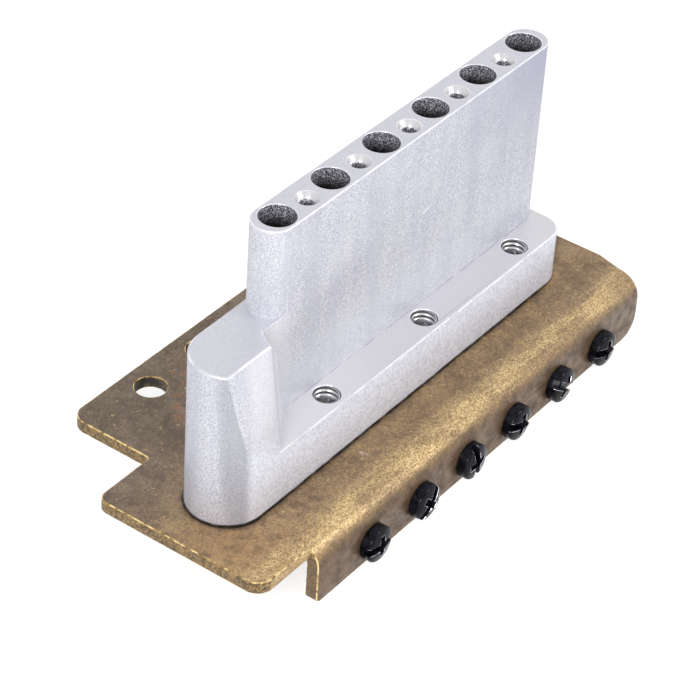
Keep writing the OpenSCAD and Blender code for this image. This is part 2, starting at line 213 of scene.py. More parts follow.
def grain_group():
    """Fine grain of two sizes, as blasting and casting leave it."""
    tree, maker, given = new_group("grain", {"Vector": None, "Scale": 4000.0}, "Height")
    coarse = maker.noise(given["Vector"], given["Scale"], 2.0)
    fine = maker.noise(given["Vector"], maker.times(given["Scale"], 2.6), 1.0)
    maker.node("NodeGroupOutput", {0: maker.times(maker.plus(coarse, fine), 0.5)})
    return tree


def patches_group():
    """Soft-edged patches: 1 where the noise passes the threshold."""
    inputs = {"Vector": None, "Scale": 300.0, "Threshold": 0.5, "Softness": 0.08, "Detail": 4.0}
    tree, maker, given = new_group("patches", inputs, "Mask")
    value = maker.noise(given["Vector"], given["Scale"], given["Detail"])
    start = maker.minus(given["Threshold"], given["Softness"])
    end = maker.plus(given["Threshold"], given["Softness"])
    maker.node("NodeGroupOutput", {0: maker.fade(value, start, end)})
    return tree


def scratches_group():
    """Thin broken lines that run one way, turned by Turn radians about Z."""
    inputs = {"Vector": None, "Scale": 400.0, "Turn": 0.0, "Amount": 0.35}
    tree, maker, given = new_group("scratches", inputs, "Mask")
    turned = maker.turned(given["Vector"], maker.vector(z=given["Turn"]))
    drawn_out = maker.vector_math("MULTIPLY", turned, (1.0, 34.0, 1.0))
    thin = maker.fade(maker.noise(drawn_out, given["Scale"], 2.0), 0.66, 0.72)
    gaps = maker.noise(given["Vector"], maker.times(given["Scale"], 0.5), 2.0)
    kept = maker.fade(gaps, maker.minus(0.85, given["Amount"]), 0.9)
    maker.node("NodeGroupOutput", {0: maker.times(thin, kept)})
    return tree


GRAIN = grain_group()
PATCHES = patches_group()
SCRATCHES = scratches_group()


class Coat(Maker):
    """One new material: a base coat, washes over it, and what its shader is given in the end."""

    def __init__(self, name, metallic, roughness, specular=0.5):
        self.material = bpy.data.materials.new(name)
        self.material.use_nodes = True
        super().__init__(self.material.node_tree)
        self.shader = self.tree.nodes["Principled BSDF"]
        self.set({"Metallic": metallic, "Roughness": roughness, "Specular IOR Level": specular})
        self.place = self.node("ShaderNodeTexCoord").outputs["Object"]
        self.x, self.y, self.z = self.node("ShaderNodeSeparateXYZ", {0: self.place}).outputs
        self.base = None

    def set(self, values):
        for name, value in values.items():
            self.feed(self.shader.inputs[name], value)

    def cloud(self, scale, detail=3.0, roughness=0.55):
        return self.noise(self.place, scale, detail, roughness)

    def grain(self, scale):
        return self.group(GRAIN, Vector=self.place, Scale=scale)

    def patches(self, scale, threshold, softness, detail=4.0, place=None):
        values = {"Scale": scale, "Threshold": threshold, "Softness": softness, "Detail": detail}
        return self.group(PATCHES, Vector=place or self.place, **values)

    def scratches(self, scale, turn, amount):
        return self.group(SCRATCHES, Vector=self.place, Scale=scale, Turn=turn, Amount=amount)

    def where(self, *bands):
        """1 inside all bands: each a value, a place, start and end in mm past it, and maybe low and high."""
        return self.times(*[
            self.fade(value, place + start * MM, place + end * MM, *limits)
            for value, place, start, end, *limits in bands
        ])

    def mix(self, factor, a, b):
        return self.node("ShaderNodeMix", {0: factor, 6: a, 7: b}, data_type="RGBA").outputs[2]

    def two_tone(self, factor, first, second):
        return self.mix(factor, colour(*first), colour(*second))

    def lay(self, factor, first, second):
        self.base = self.two_tone(factor, first, second)

    def wash(self, mask, amount, *tone):
        """Brings the base towards the tone, by the amount where the mask is 1."""
        self.base = self.mix(self.times(mask, amount), self.base, colour(*tone))

    def streak(self, start, end, width):
        """1 along the line from start to end, fading out at its ends and at the width."""
        middle = (Vector(start) + Vector(end)) / 2
        half = (Vector(end) - Vector(start)) / 2
        offset = self.vector_math("SUBTRACT", self.place, tuple(middle))
        along = self.vector_math("DOT_PRODUCT", offset, tuple(half.normalized()))
        far = self.vector_math("LENGTH", offset)
        across = self.minus(self.times(far, far), self.times(along, along))
        share = self.over(along, half.length)
        total = self.plus(self.times(share, share), self.over(across, width * width))
        return self.fade(total, 0.25, 1.0, 1.0, 0.0)

    def finish(self, relief=None, **values):
        """Gives the shader its base colour, other values and a relief of (height, strength, depth)."""
        self.set({"Base Color": self.base, **values})
        if relief:
            values = dict(zip(("Height", "Strength", "Distance"), relief))
            self.set({"Normal": self.result("ShaderNodeBump", values)})
        return self.material


# Painted shade bands beside the boss's ridge and end, and a nick on the wall, on the casting as the photo
# shows them: start, end and width
RIDGE_SHADE_BAND = (mm(-36.9, -7.0, 35.0), mm(-34.0, -9.4, 15.0), 2.6 * MM)
END_SHADE_BAND = (mm(-36.6, -7.6, 38.0), mm(-35.2, -8.75, 3.0), 2.2 * MM)
NICK = ((5.8 * MM, wall_y, 31.7 * MM), (8.4 * MM, wall_y, 32.3 * MM), 0.16 * MM)


def boss_shading(coat):
    """Painted light on the boss's leaning cheek, painted shade in its hollow, and a band of painted shade
    beside its ridge.
    """
    x, y, z = coat.x, coat.y, coat.z
    cheek = coat.where(
        (x, string_x[0], 1, -1),
        (x, boss_x, -3, 1, 0.15, 1.0),
        (z, boss_top, 0.6, -0.6, 0.3, 1.0),
        (z, ledge_top, -4, 9, 0.35, 1.0),
    )
    facing = coat.node("ShaderNodeNewGeometry").outputs["True Normal"]
    upward = coat.node("ShaderNodeSeparateXYZ", {0: facing}).outputs[2]
    lean = coat.times(coat.fade(upward, 0.02, 0.12), coat.where((z, boss_top, -0.1, -0.4)))
    hollow_painted_shade = coat.where((x, boss_x, 2.6, 4.4), (x, string_x[0], -4.6, -6.4), (y, wall_y, 0.2, -0.4))
    ridge_band = coat.times(coat.streak(*RIDGE_SHADE_BAND), coat.where((z, ledge_top, 0, 7, 0.15, 1.0)))
    ridge_painted_shade = coat.times(coat.most(ridge_band, coat.streak(*END_SHADE_BAND)), coat.minus(1.0, lean))
    # Painted light on the cheek, more where it leans upward; painted shade in the hollow and beside the ridge
    # and the end
    coat.wash(cheek, 0.4, 236, 235, 237)
    coat.wash(coat.times(lean, cheek), 0.1, 240, 240, 246)
    coat.wash(hollow_painted_shade, 0.42, 190, 190, 204)
    coat.wash(ridge_painted_shade, 0.5, 150, 152, 162)


def wall_shading(coat):
    """The string wall: painted shade at its far top and painted light low down."""
    x, z = coat.x, coat.z
    # Painted shade on the wall's far top; painted light low down after it
    coat.wash(coat.where((x, 0, 4, 36), (z, block_top, -21.5, 0)), 0.8, 162, 165, 184)
    low_wall_painted_light = coat.where((x, 0, -25, -21), (z, ledge_top, 14, 3), (x, 0, 30, 6, 0.1, 1.0))
    coat.wash(low_wall_painted_light, 0.3, 232, 232, 240)


def casting_painted_shade(coat):
    """Painted shade in the crease between wall and ledge, and along the block's foot."""
    x, y, z = coat.x, coat.y, coat.z
    broken = coat.cloud(500.0)
    crease = coat.where(
        (x, string_x[0], 0.5, 2),
        (y, wall_y, -0.3, -0.05),
        (y, wall_y, 0.3, 0.1),
        (z, ledge_top, 0.22, 0.06),
        (z, ledge_top, -0.1, -0.02),
    )
    foot = coat.where((z, plate_top, 0.4, 0.24))
    # Painted shade in the crease, then along the foot
    coat.wash(crease, coat.fade(broken, 0.4, 0.6, 0.1, 0.6), 120, 120, 132)
    coat.wash(foot, coat.fade(broken, 0.3, 0.6, 0.6, 1.0), 58, 50, 45)


def blasted_casting():
    """Bead-blasted die casting: pale, cool, finely grained, faintly streaked, pitted on the ledge's side,
    with painted light and shade on the boss, the wall, the ledge's side and the foot.
    """
    coat = Coat("blasted_casting", 0.25, 0.48)
    grain = coat.grain(4800.0)
    coarse = coat.cloud(3000.0, 2.0)
    drawn_down = coat.vector_math("MULTIPLY", coat.place, (1.0, 1.0, 0.1))
    outer = coat.where((coat.y, ledge_face, 0.6, 0.1))
    pits = coat.times(coat.patches(2300.0, 0.68, 0.05), coat.fade(outer, 0.0, 1.0, 0.15, 0.32))
    nick = coat.streak(*NICK)
    coat.lay(coat.fade(grain, 0.4, 0.6), (168, 169, 182), (228, 228, 236))
    coat.wash(coat.fade(coat.noise(drawn_down, 380.0), 0.38, 0.66), 0.42, 180, 181, 196)
    coat.wash(coat.fade(coat.cloud(160.0), 0.4, 0.75), 0.3, 222, 222, 228)
    boss_shading(coat)
    wall_shading(coat)
    # Painted light on the ledge's outer side, pale and cool
    coat.wash(outer, 0.5, 238, 242, 255)
    coat.wash(coat.times(outer, coat.fade(coarse, 0.5, 0.38)), 0.24, 150, 149, 158)
    coat.wash(coat.times(outer, coat.fade(coarse, 0.52, 0.66)), 0.5, 246, 246, 250)
    coat.wash(pits, 1.0, 146, 142, 144)
    # Painted shade in the crease and along the foot
    casting_painted_shade(coat)
    coat.wash(nick, 0.8, 244, 244, 248)
    height = coat.minus(coat.minus(grain, pits), nick)
    return coat.finish((height, 0.7, 0.04 * MM), Roughness=coat.fade(grain, 0.3, 0.7, 0.42, 0.58))


def machined_face():
    """Milled top faces: smoother and calmer than the casting round them, with painted light on the ledge's
    top.
    """
    coat = Coat("machined_face", 0.4, 0.4)
    grain = coat.grain(3000.0)
    ledge_painted_light = coat.where((coat.z, ledge_top, 1, 0.5))
    near_ledge_painted_light = coat.times(ledge_painted_light, coat.fade(coat.x, -2 * MM, string_x[0]))
    coat.lay(coat.fade(grain, 0.3, 0.7), (198, 198, 207), (211, 211, 219))
    # Painted light on the ledge's top, more towards the boss end
    coat.wash(ledge_painted_light, 0.4, 218, 216, 214)
    coat.wash(near_ledge_painted_light, 0.36, 240, 239, 240)
    coat.wash(coat.scratches(500.0, 1.2, 0.3), 0.3, 238, 238, 242)
    return coat.finish((grain, 0.15, 0.02 * MM))


def drilled_wall():
    """Walls of the deep holes: dark, speckled, with painted shade black towards the bottom."""
    coat = Coat("drilled_wall", 0.3, 0.45)
    grain = coat.grain(4600.0)
    coat.lay(coat.fade(grain, 0.5, 0.6), (76, 75, 84), (236, 236, 244))
    # Painted shade: black towards the bottom of the holes
    coat.wash(coat.where((coat.z, block_top, -0.2, -3.8)), 1.0, 22, 21, 23)
    return coat.finish((grain, 0.5, 0.04 * MM))


def painted_shade_seam():
    """The dark line of painted shade where the casting stands on the plate."""
    coat = Coat("painted_shade_seam", 0.0, 0.7, 0.2)
    coat.lay(coat.fade(coat.cloud(700.0), 0.35, 0.7), (24, 20, 18), (66, 56, 48))
    return coat.finish()


def machined_cone():
    """Countersinks: bright bare metal."""
    coat = Coat("machined_cone", 0.85, 0.28)
    grain = coat.grain(5000.0)
    coat.lay(grain, (190, 188, 190), (228, 227, 230))
    return coat.finish((grain, 0.1, 0.01 * MM))


def cut_thread():
    """Cut threads of the ledge's holes: bright crests, and painted shade in the roots, darker, rougher and
    less metallic.
    """
    coat = Coat("cut_thread", 0.7, 0.3)
    spacing = block_screw_x[1] - block_screw_x[0]
    from_first = coat.minus(coat.x, block_screw_x[0] - spacing / 2)
    along = coat.minus(coat.math("FLOORED_MODULO", from_first, spacing), spacing / 2)
    across = coat.minus(coat.y, block_screw_y)
    from_axis = coat.math("SQRT", coat.plus(coat.times(along, along), coat.times(across, across)))
    thread_root_shade = coat.where((from_axis, BLOCK_THREAD_R, -0.2, -0.02))
    # Painted shade in the thread's roots
    coat.lay(thread_root_shade, (214, 213, 215), (54, 52, 54))
    metallic = coat.fade(thread_root_shade, 0.0, 1.0, 0.8, 0.1)
    return coat.finish(Metallic=metallic, Roughness=coat.fade(thread_root_shade, 0.0, 1.0, 0.26, 0.6))


def past_block_foot(coat):
    """How far a point of the plate lies outside the block's foot, a rectangle with rounded corners."""
    corner = 5.0 * MM
    half = ((block_high - block_low) / 2).to_2d()
    middle = ((block_high + block_low) / 2).to_2d()
    from_middle = coat.vector_math("ABSOLUTE", coat.vector_math("SUBTRACT", coat.place, (*middle, 0.0)))
    core = (*(half - Vector((corner, corner))), 1.0)
    past_core = coat.vector_math("MAXIMUM", coat.vector_math("SUBTRACT", from_middle, core))
    return coat.minus(coat.vector_math("LENGTH", past_core), corner)


# Marks on the plate as the photo shows them
RUST_R = 1.2 * MM
RUST_X = (-14.3, -15.8, -17.2, -18.3, -20.4, -22.3, -23.6)
RUST_Y = (17.6, 15.2, 16.8, 14.4, 12.8, 11.5, 10.0)
SMUDGES = (
    ((-13.9 * MM, -13.2 * MM, plate_top), (-14.1 * MM, -9.9 * MM, plate_top), 0.7 * MM),
    ((11.9 * MM, -12.4 * MM, plate_top), (13.9 * MM, -10.4 * MM, plate_top), 0.5 * MM),
)
STAIN_TURN = math.radians(45)
STAIN_PLACE = (-2.4 * MM, bend_y - BEND_R * math.sin(STAIN_TURN), bend_z + BEND_R * math.cos(STAIN_TURN))


def flat_sheet(coat, mottle, speck):
    """The plate's flat: brown by the pivots, warmer towards the bend, with gold and dark specks, and painted
    shade round the block's foot.
    """
    x, y = coat.x, coat.y
    cloud = coat.fade(coat.cloud(150.0, 5.0, 0.6), 0.35, 0.65)
    toward_bend = coat.fade(y, plate_high.y - 9 * MM, bend_y + 4 * MM)
    brown = coat.two_tone(cloud, (106, 92, 80), (130, 115, 100))
    warm = coat.two_tone(cloud, (128, 103, 78), (160, 133, 98))
    coat.base = coat.mix(toward_bend, brown, warm)
    near_ear = coat.times(coat.where((x, string_x[0], -6, -16)), coat.fade(y, pivot_y - 14 * MM, bend_y))
    coat.wash(near_ear, 0.5, 192, 155, 108)
    coat.wash(coat.where((y, ledge_face, 3, -1), (x, string_x[0], -4, 4)), 0.4, 112, 88, 60)
    coat.wash(coat.fade(mottle, 0.48, 0.66), 0.48, 92, 74, 60)
    gold = coat.times(coat.fade(mottle, 0.6, 0.34, 0.15, 0.7), coat.fade(toward_bend, 0.0, 1.0, 0.4, 0.85))
    coat.wash(coat.fade(speck, 0.5, 0.62), gold, 204, 166, 100)
    coat.wash(coat.fade(speck, 0.5, 0.38), 0.42, 70, 56, 46)
    flecks = []
    for turn in (0.6, -0.8):
        drawn = coat.vector_math("MULTIPLY", coat.turned(coat.place, turn), (1.0, 1.9, 1.0))
        flecks.append(coat.patches(760.0, 0.69, 0.05, 5.0, drawn))
    coat.wash(coat.most(*flecks), 0.6, 208, 180, 130)
    coat.wash(coat.patches(1250.0, 0.7, 0.03), 0.35, 62, 50, 42)
    # Painted shade on the plate round the block's foot
    past_foot = past_block_foot(coat)
    coat.wash(coat.where((past_foot, 0, 1, 0)), coat.fade(mottle, 0.3, 0.6, 0.25, 0.6), 66, 52, 42)
    coat.wash(coat.where((past_foot, 0, 0.28, 0.1)), coat.fade(mottle, 0.36, 0.52, 0.3, 0.9), 34, 27, 22)


def bend_and_lip(coat, mottle, speck):
    """Bright rubbed gold round the bend, partly a painted highlight, dark brown down the lip."""
    # How far round the bend a point lies: 0 on the flat, a quarter turn on the lip
    angle = coat.math("ARCTAN2", coat.minus(bend_y, coat.y), coat.minus(coat.z, bend_z))
    streaked = coat.noise(coat.vector_math("MULTIPLY", coat.place, (0.3, 1.0, 1.0)), 520.0, 4.0, 0.6)
    on_bend = coat.times(coat.fade(angle, -0.6, 0.35), coat.fade(angle, 1.25, 0.7))
    gold = coat.two_tone(coat.fade(speck, 0.4, 0.6), (146, 116, 72), (232, 204, 150))
    # Gold rubbed bright round the bend, partly a painted highlight
    coat.base = coat.mix(coat.times(on_bend, coat.fade(streaked, 0.64, 0.38, 0.3, 1.0)), coat.base, gold)
    brown = coat.two_tone(coat.fade(mottle, 0.4, 0.65), (105, 83, 64), (77, 61, 49))
    brown = coat.mix(coat.fade(speck, 0.5, 0.62, 0.0, 0.3), brown, colour(150, 124, 90))
    coat.base = coat.mix(coat.fade(angle, 0.85, 1.45, 0.0, 0.9), coat.base, brown)


def sheet_marks(coat, mottle, speck):
    """Rust by the boss, two pale smudges, and a round stain on the bend."""
    rust_places = [(x * MM, y * MM, plate_top) for x, y in zip(RUST_X, RUST_Y)]
    from_rust = [coat.vector_math("DISTANCE", coat.place, place) for place in rust_places]
    rust = coat.most(*[coat.fade(far, RUST_R, RUST_R * 0.35) for far in from_rust])
    rust = coat.times(rust, coat.fade(mottle, 0.54, 0.46), coat.fade(speck, 0.44, 0.54, 0.3, 1.0))
    coat.wash(rust, 0.5, 166, 104, 62)
    smudge = coat.most(*[coat.streak(*smudge) for smudge in SMUDGES])
    coat.wash(smudge, coat.fade(mottle, 0.46, 0.56, 0.0, 0.6), 214, 202, 184)
    from_stain = coat.vector_math("DISTANCE", coat.place, STAIN_PLACE)
    ring = coat.where((from_stain, 0, 0.2, 0.36), (from_stain, 0, 0.6, 0.4))
    coat.wash(coat.times(ring, coat.fade(speck, 0.44, 0.52)), 0.75, 78, 62, 44)


def aged_sheet():
    """Antiqued plate: mottled brown over gold, bright along the bend, with stains and fine scratches."""
    coat = Coat("aged_sheet", 0.3, 0.42)
    mottle = coat.cloud(620.0, 5.0, 0.65)
    speck = coat.grain(3400.0)
    flat_sheet(coat, mottle, speck)
    bend_and_lip(coat, mottle, speck)
    sheet_marks(coat, mottle, speck)
    ways = ((300.0, 0.5), (420.0, -0.9), (360.0, 1.35))
    lines = coat.most(*[coat.scratches(scale, turn, 0.42) for scale, turn in ways])
    coat.wash(lines, 0.45, 206, 182, 138)
    height = coat.minus(speck, coat.times(lines, 0.5))
    return coat.finish((height, 0.7, 0.03 * MM), Roughness=coat.fade(mottle, 0.35, 0.65, 0.34, 0.52))


def sheared_side():
    """Cut sides of the sheet: brown gold, rough and speckled, darker at the lip's end."""
    coat = Coat("sheared_side", 0.35, 0.5)
    rough = coat.cloud(1500.0, 5.0, 0.65)
    speckle = coat.grain(3200.0)
    coat.lay(coat.fade(rough, 0.38, 0.6), (148, 120, 78), (88, 70, 52))
    coat.wash(coat.fade(speckle, 0.5, 0.62), 0.5, 206, 178, 128)
    coat.wash(coat.fade(speckle, 0.46, 0.36), 0.5, 66, 54, 42)
    coat.wash(coat.where((coat.z, plate_under, 0.4, -1.2)), 0.6, 112, 92, 76)
    return coat.finish((coat.plus(rough, speckle), 0.7, 0.04 * MM))


def punched_hole_wall():
    """Walls of the holes in the sheet: darkened, with a worn spot here and there."""
    coat = Coat("punched_hole_wall", 0.3, 0.5)
    mottle = coat.cloud(900.0, 4.0)
    coat.lay(coat.fade(mottle, 0.4, 0.7), (44, 38, 34), (112, 94, 72))
    return coat.finish((mottle, 0.4, 0.03 * MM))


def gloss_black():
    """Gloss black plating on the intonation screws, rubbed grey here and there."""
    coat = Coat("gloss_black", 0.0, 0.16, 0.12)
    haze = coat.cloud(900.0, 4.0)
    coat.lay(coat.fade(haze, 0.35, 0.7), (6, 6, 8), (25, 26, 36))
    coat.wash(coat.patches(1500.0, 0.66, 0.05), 0.2, 74, 72, 76)
    return coat.finish((haze, 0.25, 0.04 * MM), Roughness=coat.fade(haze, 0.3, 0.75, 0.08, 0.26))


def edge_wear_and_highlight(name, metallic, patches, dull, bright, roughness):
    """Edges rubbed bright in patches, on the casting and the black screws partly as a painted highlight; the
    roughness runs from the dull to the bright places.
    """
    coat = Coat(name, metallic, roughness[0])
    wear = coat.patches(*patches)
    coat.lay(wear, dull, bright)
    return coat.finish(Roughness=coat.fade(wear, 0.0, 1.0, *roughness))


def plain_steel(name, dark, pale, roughness, scale):
    """Bare or plated steel, two tones with fine grain and rubbed spots."""
    coat = Coat(name, 0.8, roughness)
    grain = coat.grain(scale)
    coat.lay(coat.fade(grain, 0.3, 0.7), dark, pale)
    coat.wash(coat.patches(scale * 0.2, 0.56, 0.1), 0.35, *dark)
    rough = coat.fade(grain, 0.3, 0.7, roughness - 0.06, roughness + 0.08)
    return coat.finish((grain, 0.12, 0.01 * MM), Roughness=rough)


# The casting's and the sheet's materials, in the order of the numbers that their faces take
CASTING_MATERIALS = (
    blasted_casting(),
    machined_face(),
    # Burnished edges, brighter partly as a painted highlight
    edge_wear_and_highlight("burnished_edge_and_highlight", 0.6, (420.0, 0.46, 0.12), (205, 205, 214), (240, 240, 245), (0.45, 0.25)),
    drilled_wall(),
    machined_cone(),
    # Painted shade along the casting's foot
    painted_shade_seam(),
    cut_thread(),
)
CAST_SKIN, MILLED, BURNISHED_AND_HIGHLIGHT, DRILLED, CONE, SEAM, CUT_THREAD = range(7)
SHEET_MATERIALS = (
    aged_sheet(),
    sheared_side(),
    edge_wear_and_highlight("rubbed_gold_edge", 0.7, (1000.0, 0.48, 0.12), (132, 104, 66), (246, 216, 152), (0.42, 0.24)),
    punched_hole_wall(),
)
SHEET_SKIN, SHEARED, GOLD_EDGE, HOLE_WALL = range(4)
BLACK = gloss_black()
# Rubbed bare metal on the slot edges, brighter partly as a painted highlight
RUBBED_BLACK_AND_HIGHLIGHT = edge_wear_and_highlight(
    "rubbed_black_edge_and_highlight", 0.85, (1100.0, 0.47, 0.1), (24, 24, 30), (196, 196, 204), (0.4, 0.22)
)
SCREW_STEEL = plain_steel("screw_steel", (138, 136, 137), (206, 205, 206), 0.3, 3000.0)
SPRING_STEEL = plain_steel("spring_steel", (150, 150, 152), (206, 206, 208), 0.28, 2600.0)
SADDLE_STEEL = plain_steel("saddle_steel", (150, 147, 142), (196, 194, 188), 0.36, 2400.0)
GRUB_STEEL = plain_steel("grub_steel", (72, 72, 76), (122, 122, 126), 0.36, 3000.0)


def new_shape_tree(name, lengths, counts):
    """An empty geometry tree with these inputs and a material, and its Maker."""
    tree = bpy.data.node_groups.new(name, "GeometryNodeTree")
    inputs = [(label, "Float") for label in lengths] + [(label, "Int") for label in counts]
    for label, kind in inputs + [("Material", "Material")]:
        tree.interface.new_socket(label, in_out="INPUT", socket_type=f"NodeSocket{kind}")
    tree.interface.new_socket("Geometry", in_out="OUTPUT", socket_type="NodeSocketGeometry")
    maker = Maker(tree)
    return tree, maker, maker.node("NodeGroupInput").outputs


def finish_shape_tree(maker, given, geometry):
    real = maker.result("GeometryNodeRealizeInstances", {"Geometry": geometry})
    coated = maker.result("GeometryNodeSetMaterial", {"Geometry": real, "Material": given["Material"]})
    maker.node("NodeGroupOutput", {"Geometry": coated})


def threaded_rod_tree():
    """A rod along Z whose side is one helical ridge, eased down to a chamfer at both ends."""
    lengths = ("Radius", "Length", "Pitch", "Ridge", "Start", "Chamfer Low", "Chamfer High")
    tree, maker, given = new_shape_tree("threaded_rod", lengths, ("Rows", "Columns"))
    sizes = {0: given["Columns"], 1: given["Rows"], 3: given["Radius"], 4: given["Length"]}
    rod = maker.result("GeometryNodeMeshCylinder", sizes, fill_type="NGON")
    place = maker.result("GeometryNodeInputPosition")
    x, y, z = maker.node("ShaderNodeSeparateXYZ", {0: place}).outputs
    half = maker.times(given["Length"], 0.5)
    height = maker.plus(z, half)
    turns = maker.over(maker.math("ARCTAN2", y, x), 2 * math.pi)
    along = maker.over(maker.plus(height, given["Start"]), given["Pitch"])
    phase = maker.math("FRACT", maker.minus(along, turns))
    ridge = maker.math("ABSOLUTE", maker.minus(maker.times(phase, 2.0), 1.0))
    radius = maker.plus(given["Radius"], maker.times(maker.minus(ridge, 0.5), given["Ridge"]))
    top = maker.plus(given["Radius"], maker.times(given["Ridge"], 0.5))
    low_end = maker.plus(maker.minus(top, given["Chamfer Low"]), height)
    high_end = maker.plus(maker.minus(top, given["Chamfer High"]), maker.minus(given["Length"], height))
    radius = maker.math("MINIMUM", radius, maker.math("MINIMUM", low_end, high_end))
    share = maker.over(radius, given["Radius"])
    moved = maker.vector_math("MULTIPLY", place, maker.vector(share, share, 1.0))
    raised = maker.vector_math("ADD", moved, maker.vector(z=half))
    shaped = maker.result("GeometryNodeSetPosition", {"Geometry": rod, "Position": raised})
    finish_shape_tree(maker, given, shaped)
    return tree


def coil_tree():
    """A wire coil along Y: a short straight leg, curls, another leg."""
    lengths = ("Length", "Coil Radius", "Wire Radius", "Curls", "Leg")
    tree, maker, given = new_shape_tree("wire_coil", lengths, ("Steps", "Sides"))
    line = maker.result("GeometryNodeCurvePrimitiveLine", {"Start": (0, 0, 0), "End": (0, 1, 0)})
    dense = maker.result("GeometryNodeResampleCurve", {"Curve": line, "Count": given["Steps"]})
    share = maker.node("GeometryNodeSplineParameter").outputs["Factor"]
    along = maker.times(share, given["Length"])
    wound = maker.minus(given["Length"], maker.times(given["Leg"], 2.0))
    progress = maker.math("DIVIDE", maker.minus(along, given["Leg"]), wound, clamp=True)
    turn = maker.times(progress, given["Curls"], 2 * math.pi)
    across = maker.times(maker.math("COSINE", turn), given["Coil Radius"])
    upward = maker.times(maker.math("SINE", turn), given["Coil Radius"])
    point = maker.vector(across, along, upward)
    wire = maker.result("GeometryNodeSetPosition", {"Geometry": dense, "Position": point})
    sizes = {"Resolution": given["Sides"], "Radius": given["Wire Radius"]}
    ring = maker.result("GeometryNodeCurvePrimitiveCircle", sizes)
    tube = maker.result("GeometryNodeCurveToMesh", {"Curve": wire, "Profile Curve": ring, "Fill Caps": True})
    finish_shape_tree(maker, given, tube)
    return tree


ROD_TREE = threaded_rod_tree()
COIL_TREE = coil_tree()
ROWS_PER_TURN = 8
ROD_COLUMNS = 28


def at(x, y, z):
    return Matrix.Translation((x, y, z))


def turned(degrees, axis="Z"):
    return Matrix.Rotation(math.radians(degrees), 4, axis)


def new_object(name, mesh):
    made = bpy.data.objects.new(name, mesh)
    bpy.context.scene.collection.objects.link(made)
    return made


def opened(mesh):
    shape = bmesh.new()
    shape.from_mesh(mesh)
    return shape


def write_back(shape, mesh):
    shape.to_mesh(mesh)
    shape.free()


def apply_modifiers(obj):
    """The object's mesh with its modifiers applied; the modifiers go."""
    bpy.context.view_layer.update()
    graph = bpy.context.evaluated_depsgraph_get()
    shown = obj.evaluated_get(graph)
    mesh = bpy.data.meshes.new_from_object(shown, preserve_all_data_layers=True, depsgraph=graph)
    obj.modifiers.clear()
    obj.data = mesh


def from_tree(name, tree, values, place):
    """An object made by a geometry tree with these inputs, its mesh moved by the place matrix."""
    made = new_object(name, bpy.data.meshes.new(name))
    modifier = made.modifiers.new("shape", "NODES")
    modifier.node_group = tree
    for item in tree.interface.items_tree:
        if item.in_out == "INPUT":
            modifier[item.identifier] = values[item.name]
    apply_modifiers(made)
    made.data.transform(place)
    return made


def threaded_rod(name, thread, length, place, material, start=0.0, low=0.0, high=0.0):
    """A rod with this thread; low and high are the chamfers, start is where on the thread it begins."""
    radius, pitch, ridge = thread
    values = {"Radius": radius, "Pitch": pitch, "Ridge": ridge, "Length": length, "Start": start,
              "Rows": int(length / pitch * ROWS_PER_TURN), "Columns": ROD_COLUMNS,
              "Chamfer Low": low, "Chamfer High": high, "Material": material}
    return from_tree(name, ROD_TREE, values, place)


def loft(name, rings, place, material, ends_first=False):
    """A closed solid on rings of points, bottom to top; a ring of one point is a tip.

    The order of its faces decides how a cut splits them."""
    shape = bmesh.new()
    made = [[shape.verts.new(point) for point in ring] for ring in rings]
    ends = [ring for ring in (made[0][::-1], made[-1]) if len(ring) > 1]
    sides = []
    for low, high in zip(made, made[1:]):
        for k in range(max(len(low), len(high))):
            lower = [low[k % len(low)], low[(k + 1) % len(low)]]
            upper = [high[(k + 1) % len(high)], high[k % len(high)]]
            sides.append(list(dict.fromkeys(lower + upper)))
    for corners in ends + sides if ends_first else sides + ends:
        shape.faces.new(corners)
    bmesh.ops.recalc_face_normals(shape, faces=shape.faces)
    mesh = bpy.data.meshes.new(name)
    write_back(shape, mesh)
    mesh.transform(place)
    mesh.materials.append(material)
    return new_object(name, mesh)


def lathe(name, profile, place, material, steps=48):
    """A solid of revolution about Z from (radius, height) points."""
    turns = [2 * math.pi * k / steps for k in range(steps)]
    rings = [[(radius * math.cos(t), radius * math.sin(t), height) for t in (turns if radius else turns[:1])]
             for radius, height in profile]
    return loft(name, rings, place, material)


def prism(name, corners, height, place, material):
    """A prism on a flat outline, from z = 0 up to the height."""
    rings = [[(x, y, z) for x, y in corners] for z in (0, height)]
    return loft(name, rings, place, material, ends_first=True)


def bar(name, width, length, height, place, material):
    half_w, half_l = width / 2, length / 2
    corners = [(-half_l, -half_w), (half_l, -half_w), (half_l, half_w), (-half_l, half_w)]
    return prism(name, corners, height, place, material)


def combine(target, tools, operation):
    """Joins the tools to the target or cuts them out of it, and takes them away."""
    for tool in tools:
        modifier = target.modifiers.new("combine", "BOOLEAN")
        modifier.operation = operation
        modifier.solver = "EXACT"
        modifier.material_mode = "TRANSFER"
        modifier.object = tool
    apply_modifiers(target)
    for tool in tools:
        bpy.data.objects.remove(tool)


def cad_copy(name, node, materials):
    """A copy of a CAD node's mesh with its loose triangles joined into whole faces."""
    same_place = 0.002 * MM
    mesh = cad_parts[node].data.copy()
    mesh.materials.clear()
    shape = opened(mesh)
    bmesh.ops.remove_doubles(shape, verts=shape.verts, dist=same_place)
    bmesh.ops.dissolve_degenerate(shape, edges=shape.edges, dist=same_place)
    flat = math.radians(0.8)
    bmesh.ops.dissolve_limit(shape, angle_limit=flat, verts=shape.verts, edges=shape.edges)
    write_back(shape, mesh)
    for material in materials:
        mesh.materials.append(material)
    return new_object(name, mesh)


